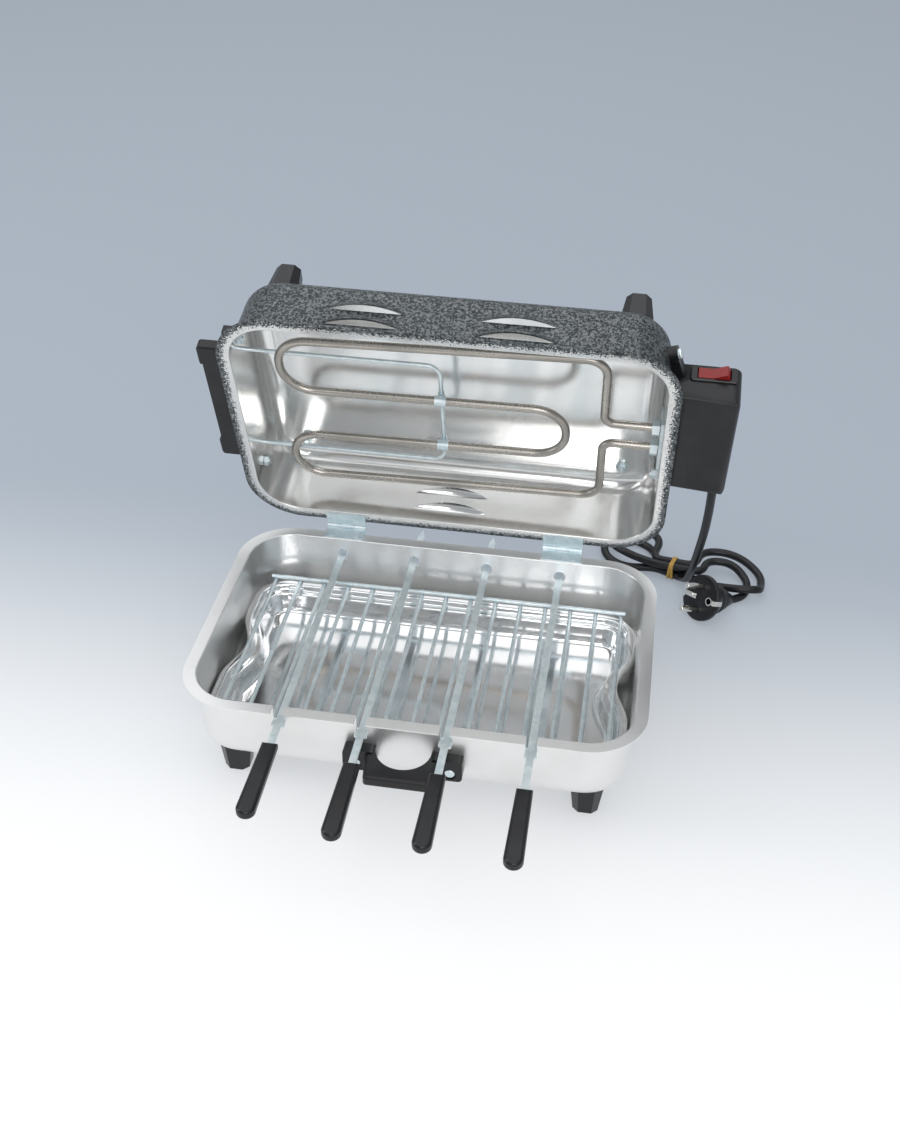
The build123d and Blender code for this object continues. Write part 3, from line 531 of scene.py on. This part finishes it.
# drip tray: waisted outline, inset ring by ring; a ring is how far in and how high
traySizes = {
    "top": 43.5,
    "half": (143.5, 81.0),
    "corner": 24.0,
    "cornerSteps": 14,
    "waist": 9.2,
    "mouth": 36.0,
    "sideStep": 3.0,
    "edgeDrop": 0.5,
    "sheet": 0.8,
    "lip": [(0.5, 0), (1.2, 0), (3.8, 0)],
    "step": [(4.6, -0.35), (5.2, -1.2), (5.5, -2.6), (6.0, -3.7), (6.8, -4.3)],
    "ledge": [(9.0, -4.5), (10.0, -4.9), (10.7, -6.0)],
    "wall": [(11.7, -12.5), (12.5, -16.6)],
    "floor": [(13.5, -18.6), (14.9, -19.4), (16.6, -19.5)],
    "smooth": 50,
}


def trayOutline():
    t = traySizes
    halfX, halfY = t["half"]
    flatY = halfY - t["corner"]
    count = round(2 * flatY / t["sideStep"])
    side = []
    for i in range(count + 1):
        y = -flatY + 2 * flatY * i / count
        dip = 0.5 + 0.5 * math.cos(math.pi * min(abs(y) / t["mouth"], 1))
        side.append((halfX - t["waist"] * dip, y))
    corner = []
    for i in range(1, t["cornerSteps"]):
        turn = math.pi / 2 * i / t["cornerSteps"]
        corner.append((halfX - t["corner"] * (1 - math.cos(turn)), flatY + t["corner"] * math.sin(turn)))
    corner.append((halfX - t["corner"], halfY))
    half = side + corner + [(-x, y) for x, y in reversed(corner)]
    return half + [(-x, y) for x, y in reversed(side)] + [(x, -y) for x, y in reversed(half[len(side):])]


def makeTray():
    t = traySizes
    line = bpy.data.curves.new("trayLine", "CURVE")
    line.dimensions = "3D"
    points = trayOutline()
    spline = line.splines.new("POLY")
    spline.points.add(len(points) - 1)
    for point, (x, y) in zip(spline.points, points):
        point.co = (*((panMiddle + Vector((x, y, t["top"] - t["edgeDrop"]))) * mm), 1)
    spline.use_cyclic_u = True
    onlySelected(linked("tray_pressing", line))
    bpy.ops.object.convert(target="MESH")
    tray = bpy.context.object
    bpy.ops.object.mode_set(mode="EDIT")
    bpy.ops.mesh.select_mode(type="VERT")
    bpy.ops.mesh.select_all(action="SELECT")
    bpy.ops.mesh.edge_face_add()
    choose(tray, "FACE", lambda face: True)
    if tray.data.polygons[0].normal.z < 0:
        bpy.ops.mesh.flip_normals()
    far, low = 0, -t["edgeDrop"]
    for inward, height in t["lip"] + t["step"] + t["ledge"] + t["wall"] + t["floor"]:
        bpy.ops.mesh.inset(thickness=(inward - far) * mm, depth=(height - low) * mm)
        far, low = inward, height
    bpy.ops.object.mode_set(mode="OBJECT")
    thickened(tray, t["sheet"])
    applyAll(tray)
    smooth(tray, t["smooth"], even=True)
    coat(tray, "tray_sheet")
    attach(tray, "base")
    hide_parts("drip_tray")
    print("tray made, faces", len(tray.data.polygons))


makeTray()

# nuts on the studs of the lid's feet: washer, hexagon and the stud's rounded end
studNut = {
    "washer": 9.6,
    "washerSides": 36,
    "washerSheet": 0.8,
    "flats": 7.0,
    "height": 3.0,
    "end": 5.0,
    "endSides": 24,
    "endRise": 1.3,
    "endInset": 0.5,
    "endDome": 0.4,
    "edge": 0.22,
    "floor": -53.3,
    "places": [(x, y) for x in (-121, 121) for y in (-74, 74)],
    "spin": 17,
    "smooth": 30,
}


def makeStudNuts():
    n = studNut
    nutLow = n["washerSheet"]
    nutHigh = nutLow + n["height"]
    washer = addCylinder(n["washerSides"], n["washer"] / 2, 0, nutLow)
    hexagon = addCylinder(6, n["flats"] / math.sqrt(3), nutLow, nutHigh)
    end = addCylinder(n["endSides"], n["end"] / 2, nutHigh, nutHigh + n["endRise"])
    chooseTop(end)
    bpy.ops.mesh.inset(thickness=n["endInset"] * mm)
    bpy.ops.transform.translate(value=(0, 0, n["endDome"] * mm))
    bpy.ops.object.mode_set(mode="OBJECT")
    for piece in (washer, hexagon, end):
        softEdges(piece, n["edge"])
        applyAll(piece)
    first = joined([washer, hexagon, end], "studNut")
    copies = []
    for number, (x, y) in enumerate(n["places"]):
        copy = linked("studNut", first.data.copy())
        spin = Matrix.Rotation(math.radians(n["spin"] * number), 4, "Z")
        copy.matrix_world = lidPlace @ Matrix.Translation(Vector((x, y, n["floor"])) * mm) @ spin
        applyAll(copy)
        copies.append(copy)
    bpy.data.objects.remove(first)
    nuts = joined(copies, "lid_stud_nuts")
    smooth(nuts, n["smooth"])
    coat(nuts, "zinc_steel")
    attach(nuts, "lid")
    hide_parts("lid_push_nuts")
    print("stud nuts made:", len(copies))


makeStudNuts()

# control box: the CAD shape with its two outer corners rounded, placed as on the shut lid
boxRound = {
    "corner": 6.5,
    "outer": 194.0,
    "free": 61.5,
    "hinge": -35.5,
    "middle": -20.0,
    "cutHalf": 39.0,
    "rodHalf": 60.0,
    "rodSides": 64,
    "merge": 0.005,
    "smooth": 28,
}


def makeControlBox():
    b = boxRound
    corner = b["corner"]
    low, high = b["middle"] - b["rodHalf"], b["middle"] + b["rodHalf"]
    box = linked("control_housing", nodes["control_box"].data.copy())
    onlySelected(box)
    bpy.ops.object.mode_set(mode="EDIT")
    bpy.ops.mesh.select_all(action="SELECT")
    bpy.ops.mesh.remove_doubles(threshold=b["merge"] * mm)
    for y, inward in ((b["free"], -1), (b["hinge"], 1)):
        cutter = addBlock((2 * corner, 2 * corner, 2 * b["cutHalf"]), (b["outer"], y, b["middle"]))
        rod = addCylinder(b["rodSides"], corner, low, high, b["outer"] - corner, y + inward * corner)
        cutBy(cutter, rod)
        cutter.matrix_world = lidPlace
        applyAll(cutter)
        cutBy(box, cutter)
    smooth(box, b["smooth"], even=True)
    coat(box, "bakelite")
    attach(box, "lid")
    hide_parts("control_box")
    print("control box rounded, faces", len(box.data.polygons))


makeControlBox()

# plug: round face with a step, ribbed grip that narrows to the cord, earth grooves and hole
# a ring is how far behind the face and its radius
plugSizes = {
    "place": (183.65, 159.428, 18.742),
    "yaw": 39.2,
    "pitch": 23.0,
    "roll": 76.5,
    "face": 37.0,
    "faceEdge": 0.7,
    "disc": 0.3,
    "sides": 72,
    "rim": [(1.0, 18.5), (4.0, 18.5), (5.0, 17.5), (6.0, 16.2), (13.0, 13.2)],
    "ribs": [(13.8, 12.1), (16.0, 11.6), (16.8, 12.3), (19.0, 11.5), (19.8, 10.3), (22.0, 9.6), (22.8, 9.7),
             (25.0, 8.9), (25.8, 7.7), (28.0, 7.1)],
    "tail": (34.0, 4.85),
    "groove": {"wide": 8.0, "deep": 2.5, "long": 10.0},
    "hole": {"out": 10.0, "radius": 2.4, "deep": 14.0, "sides": 28},
    "pins": {"out": 9.5, "radius": 2.4, "deep": 6.0, "sides": 24},
    "edge": 0.35,
    "edgeAngle": 38,
    "smooth": 35,
}


def plugBack():
    yaw, pitch = (math.radians(plugSizes[key]) for key in ("yaw", "pitch"))
    return Vector((math.cos(yaw) * math.cos(pitch), math.sin(yaw) * math.cos(pitch), -math.sin(pitch)))


def plugMatrix():
    yaw, roll = (math.radians(plugSizes[key]) for key in ("yaw", "roll"))
    back = plugBack()
    side = Vector((-math.sin(yaw), math.cos(yaw), 0))
    line = side * math.cos(roll) + back.cross(side) * math.sin(roll)
    turn = Matrix((line, back.cross(line), back)).transposed().to_4x4()
    return Matrix.Translation(Vector(plugSizes["place"]) * mm) @ turn


def makePlug():
    p = plugSizes
    hole, pins, groove = p["hole"], p["pins"], p["groove"]
    far, wide = p["disc"], p["face"] / 2 - p["faceEdge"]
    plug = addCylinder(p["sides"], wide, 0, far)
    plug.name = "plug_moulding"
    chooseTop(plug)
    for z, radius in p["rim"] + p["ribs"] + [p["tail"]]:
        bpy.ops.mesh.extrude_region_move(TRANSFORM_OT_translate={"value": (0, 0, (z - far) * mm)})
        share = radius / wide
        bpy.ops.transform.resize(value=(share, share, 1), center_override=(0, 0, z * mm))
        far, wide = z, radius
    bpy.ops.object.mode_set(mode="OBJECT")
    for x in (-pins["out"], pins["out"]):
        cutBy(plug, addCylinder(pins["sides"], pins["radius"], -pins["deep"], pins["deep"], x))
    cutBy(plug, addCylinder(hole["sides"], hole["radius"], -hole["deep"], hole["deep"], 0, hole["out"]))
    for side in (-1, 1):
        size = (groove["wide"], 2 * groove["deep"], 2 * groove["long"])
        cutBy(plug, addBlock(size, (0, side * p["face"] / 2, 0)))
    softEdges(plug, p["edge"], angle=p["edgeAngle"])
    plug.matrix_world = plugMatrix()
    applyAll(plug)
    smooth(plug, p["smooth"])
    coat(plug, "cord_rubber")
    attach(plug, "base")
    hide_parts("plug_body")
    print("plug made, faces", len(plug.data.polygons))
    return plug


plugPiece = makePlug()

# earth contacts: strips that come over the face to the grooves, and the ring of the earth hole
contactSizes = {
    "wide": 4.0,
    "sheet": 0.7,
    "strip": 12.0,
    "clear": 0.3,
    "tailMiddle": 4.0,
    "tail": 9.4,
    "ringWall": 0.9,
    "ringSides": 32,
    "ringCut": 3.0,
    "edge": 0.18,
    "edgeAngle": 40,
    "smooth": 35,
}


def makeContacts():
    c = contactSizes
    hole = plugSizes["hole"]
    wide, sheet = c["wide"], c["sheet"]
    ringRadius = hole["radius"] + c["ringWall"]
    reach = plugSizes["face"] / 2 - plugSizes["groove"]["deep"] - c["clear"]
    made = []
    for side, start in ((-1, reach - c["strip"]), (1, hole["out"] + ringRadius)):
        made.append(addBlock((wide, reach - start, sheet), (0, side * (start + reach) / 2, -sheet / 2)))
        made.append(addBlock((wide, sheet, c["tail"]), (0, side * reach, c["tailMiddle"])))
    ring = addCylinder(c["ringSides"], ringRadius, -sheet, 0, 0, hole["out"])
    cutBy(ring, addCylinder(hole["sides"], hole["radius"], -c["ringCut"], c["ringCut"], 0, hole["out"]))
    made.append(ring)
    for piece in made:
        softEdges(piece, c["edge"], angle=c["edgeAngle"])
        piece.matrix_world = plugMatrix()
        applyAll(piece)
    contacts = joined(made, "plug_contacts")
    smooth(contacts, c["smooth"])
    coat(contacts, "nickel")
    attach(contacts, "base")
    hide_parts("plug_earth")
    print("plug contacts made:", len(made))
    return contacts


plugContacts = makeContacts()

# cord: free stretch, hank in the rubber band and lead to the plug are one line
# its places are from the pan's middle, and a turn's row is a place with the way it runs there
cordFloor = 3.4  # height of the cord's middle where it lies on the floor
cordSizes = {
    "diameter": 6.5,
    "free": [(187, 105.24, 156.2), (187, 110.55, 141.1), (187.6, 120.4, 118.9), (187.4, 131.8, 94),
             (186.3, 145.7, 69.2), (185.2, 157.9, 48)],
    "meet": (183.2, 175.4, 21.4),
    "meetRun": (-1.1, 8, -11.6),
    "meetLead": 14,
    "bandSpot": (170.5, 199.9),
    "bandLow": 4.7,
    "bandTop": 11.9,
    "strandPitch": 7.1,
    "strandStraight": 3.6,
    "lowAngle": 155,
    "topAngle": 172,
    "loopAngle": 144,
    "loopMiddle": 6.05,
    "outerLoop": {"radius": 22.5, "reach": 66, "sense": 1},
    "innerLoop": {"radius": 14.7, "reach": 57, "sense": -1},
    "firstTurn": [(208, 227.4, 9.5, 0), (243, 196.4, 3.9, -90), (232, 177.4, 10.8, -175),
                  (190, 192.4, 3.7, 153)],
    "lastTurn": [(184, 194.7, 11.7, -6), (209, 213.9, 9.5, 0), (231.5, 191.4, cordFloor, -90)],
    "steps": 10,
    "roundSteps": 5,
    "smooth": 50,
}


def heading(angle):
    turn = math.radians(angle)
    return Vector((math.cos(turn), math.sin(turn), 0))


def knot(x, y, z, angle):
    return Vector((x, y, z)), heading(angle)


# one strand's straight bit inside the band
def bandPair(side, z, angle):
    s = cordSizes
    run = heading(angle)
    fore = heading(angle + (90 if angle > 90 else -90))
    spot = Vector((*s["bandSpot"], z)) + fore * (side * s["strandPitch"] / 2)
    return [(spot - run * s["strandStraight"], run), (spot + run * s["strandStraight"], run)]


def leftTurn(loop):
    s = cordSizes
    radius, sense = loop["radius"], loop["sense"]
    along = heading(s["loopAngle"])
    across = heading(s["loopAngle"] + 90) * sense
    centre = Vector((*s["bandSpot"], 0)) + along * (loop["reach"] - radius)
    spots = (centre + across * radius, centre + along * radius, centre - across * radius)
    heights = (cordFloor, s["loopMiddle"], s["bandTop"])
    angles = [s["loopAngle"] - 90 * sense * quarter for quarter in range(3)]
    return [knot(p.x, p.y, z, angle) for p, z, angle in zip(spots, heights, angles)]


# the two corners that lead from one knot of the cord to the next
def cornersBetween(start, startRun, end, endRun):
    chord = end - start
    pull = chord.dot(startRun + endRun)
    turn = 2 * (1 - startRun.dot(endRun))
    if turn < 1e-6:
        reach = chord.dot(chord) / (4 * chord.dot(endRun))
    else:
        reach = (math.sqrt(pull * pull + turn * chord.dot(chord)) - pull) / turn
    return [start + startRun * reach, end - endRun * reach]


def cordCorners():
    s = cordSizes
    meet = Vector(s["meet"])
    fall = Vector(s["meetRun"]).normalized()
    back = plugBack()
    plugExit = Vector(plugSizes["place"]) - panMiddle + back * plugSizes["tail"][0]
    ease = (plugExit.z - cordFloor) / math.tan(math.radians(plugSizes["pitch"]) / 2)
    foot = plugExit + heading(plugSizes["yaw"]) * ease
    knots = [(meet + fall * s["diameter"], fall)]
    knots += bandPair(1, s["bandLow"], s["lowAngle"])
    knots += leftTurn(s["outerLoop"])
    knots += bandPair(-1, s["bandTop"], s["topAngle"] - 180)
    knots += [knot(*row) for row in s["firstTurn"]]
    knots += bandPair(-1, s["bandLow"], s["lowAngle"])
    knots += leftTurn(s["innerLoop"])
    knots += bandPair(1, s["bandTop"], s["topAngle"] - 180)
    knots += [knot(*row) for row in s["lastTurn"]]
    knots += [knot(foot.x, foot.y, cordFloor, plugSizes["yaw"] - 180), (plugExit, -back)]
    points = [Vector(p) for p in s["free"]] + [meet - fall * s["meetLead"], meet]
    for (start, startRun), (end, endRun) in zip(knots, knots[1:]):
        points += cornersBetween(start, startRun, end, endRun)
    points += [plugExit]
    return [(p + panMiddle) * mm for p in points]


def makeCord():
    corners = cordCorners()
    line = bpy.data.curves.new("cordLine", "CURVE")
    line.dimensions = "3D"
    line.resolution_u = cordSizes["steps"]
    spline = line.splines.new("NURBS")
    spline.points.add(len(corners) - 1)
    for point, corner in zip(spline.points, corners):
        point.co = (*corner, 1)
    spline.order_u = 3
    spline.use_endpoint_u = True
    cord = linked("power_lead", line)
    path = [v.co.copy() for v in bpy.data.meshes.new_from_object(cord).vertices]
    line.bevel_depth = cordSizes["diameter"] / 2 * mm
    line.bevel_resolution = cordSizes["roundSteps"]
    line.use_fill_caps = True
    onlySelected(cord)
    bpy.ops.object.convert(target="MESH")
    cord = bpy.context.object
    smooth(cord, cordSizes["smooth"])
    coat(cord, "cord_rubber")
    long = sum((b - a).length for a, b in zip(path, path[1:]))
    print("cord length", round(long, 3), "corners", len(corners), "faces", len(cord.data.polygons))
    return cord, corners, path, long


# corner 7 is where the free stretch meets the turns on the floor
powerLead, cordRoute, cordPath, cordLong = makeCord()
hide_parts("power_cord", "cord_hank", "plug_lead")
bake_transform(powerLead)

# rubber band: two turns of one thin band, a little askew
bandSizes = {
    "across": 15.9,
    "tall": 15.2,
    "width": 2.3,
    "sheet": 0.9,
    "corner": 3.6,
    "cornerSteps": 9,
    "edge": 0.25,
    "edgeSteps": 3,
    "heading": 163.5,
    "middle": 8.3,
    "turns": [{"along": -1.15, "tilt": 5.0}, {"along": 1.2, "tilt": -4.0}],
    "smooth": 40,
}


def makeBand():
    b = bandSizes
    place = (Vector((*cordSizes["bandSpot"], b["middle"])) + panMiddle) * mm
    spot = Matrix.Translation(place) @ Matrix.Rotation(math.radians(b["heading"]), 4, "Z")
    turns = []
    for turn in b["turns"]:
        piece = addBlock((b["width"], b["across"], b["tall"]))
        choose(piece, "FACE", lambda face: abs(face.normal.x) > 0.9)
        bpy.ops.mesh.delete(type="FACE")
        bpy.ops.object.mode_set(mode="OBJECT")
        xs = [v.co.x for v in piece.data.vertices]
        half = b["width"] / 2 * mm
        choose(piece, "EDGE", lambda edge: abs(xs[edge.vertices[0]] - xs[edge.vertices[1]]) > half)
        bpy.ops.mesh.bevel(offset=b["corner"] * mm, segments=b["cornerSteps"])
        bpy.ops.object.mode_set(mode="OBJECT")
        thickened(piece, b["sheet"])
        softEdges(piece, b["edge"], b["edgeSteps"])
        tilt = Matrix.Rotation(math.radians(turn["tilt"]), 4, "Y")
        piece.matrix_world = spot @ Matrix.Translation((turn["along"] * mm, 0, 0)) @ tilt
        applyAll(piece)
        turns.append(piece)
    band = joined(turns, "band_turns")
    smooth(band, b["smooth"])
    coat(band, "yellow_band")
    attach(band, "base")
    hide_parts("rubber_band")
    print("rubber band made, turns", len(turns))
    return band


rubberBand = makeBand()

# floor, lamps and sky, in metres
floorLook = {
    "size": 12.0,
    "drop": 0.0003,
    "near": (0.97, 0.975, 0.98),
    "far": (0.41, 0.46, 0.525),
    "nearY": -0.22,
    "farY": 0.29,
    "cameraGlow": 0.55,
    "glossyGlow": 0.8,
}


def makeFloor():
    look = floorLook
    nothingSelected()
    bpy.ops.mesh.primitive_plane_add(size=look["size"], location=(0, 0, -look["drop"]))
    floor = bpy.context.object
    floor.name = "paleFloor"
    f = Finish("paleFloor")
    along = f.node("SeparateXYZ", {}, {0: f.place()}, out="Y")
    colour = f.mix(along.rising(look["nearY"], look["farY"]), look["near"], look["far"])
    seen = f.node("LightPath", out="Is Camera Ray") * look["cameraGlow"]
    mirrored = f.node("LightPath", out="Is Glossy Ray") * look["glossyGlow"]
    lit = f.node("BsdfDiffuse", {}, {"Color": colour})
    glow = f.node("Emission", {}, {"Color": colour, "Strength": 1.0})
    surface = f.node("MixShader", {}, {0: (seen + mirrored).clamped(), 1: lit, 2: glow})
    f.node("OutputMaterial", {}, {"Surface": surface})
    floor.data.materials.append(f.material)


lamps = [
    {"name": "topBox", "place": (-0.15, -0.1, 1.9), "target": (0, 0, 0.1), "size": (3.8, 3.0), "power": 35},
    {"name": "backBox", "place": (-0.2, 2.3, 2.0), "target": (0, 0, 0.1), "size": (2.6, 1.4), "power": 4.5},
    {"name": "frontBox", "place": (0.5, -1.9, 1.0), "target": (0, 0, 0.15), "size": (1.3, 0.6), "power": 11},
    {"name": "leftBox", "place": (-1.7, -0.3, 0.9), "target": (0, 0.05, 0.1), "size": (0.6, 1.4), "power": 8},
]
paleSky = {"colour": (0.8, 0.84, 0.88), "strength": 0.5}


def makeLight():
    for lamp in lamps:
        data = bpy.data.lights.new(lamp["name"], "AREA")
        data.shape = "RECTANGLE"
        data.size, data.size_y = lamp["size"]
        data.energy = lamp["power"]
        light = linked(lamp["name"], data)
        light.location = lamp["place"]
        light.rotation_mode = "QUATERNION"
        light.rotation_quaternion = aimed(lamp["place"], lamp["target"])
    world = bpy.data.worlds.new("paleRoom")
    world.use_nodes = True
    bpy.context.scene.world = world
    sky = world.node_tree.nodes["Background"]
    sky.inputs["Color"].default_value = (*paleSky["colour"], 1)
    sky.inputs["Strength"].default_value = paleSky["strength"]
    bpy.context.scene.view_settings.view_transform = "Standard"


makeFloor()
makeLight()
print("floor and light made")
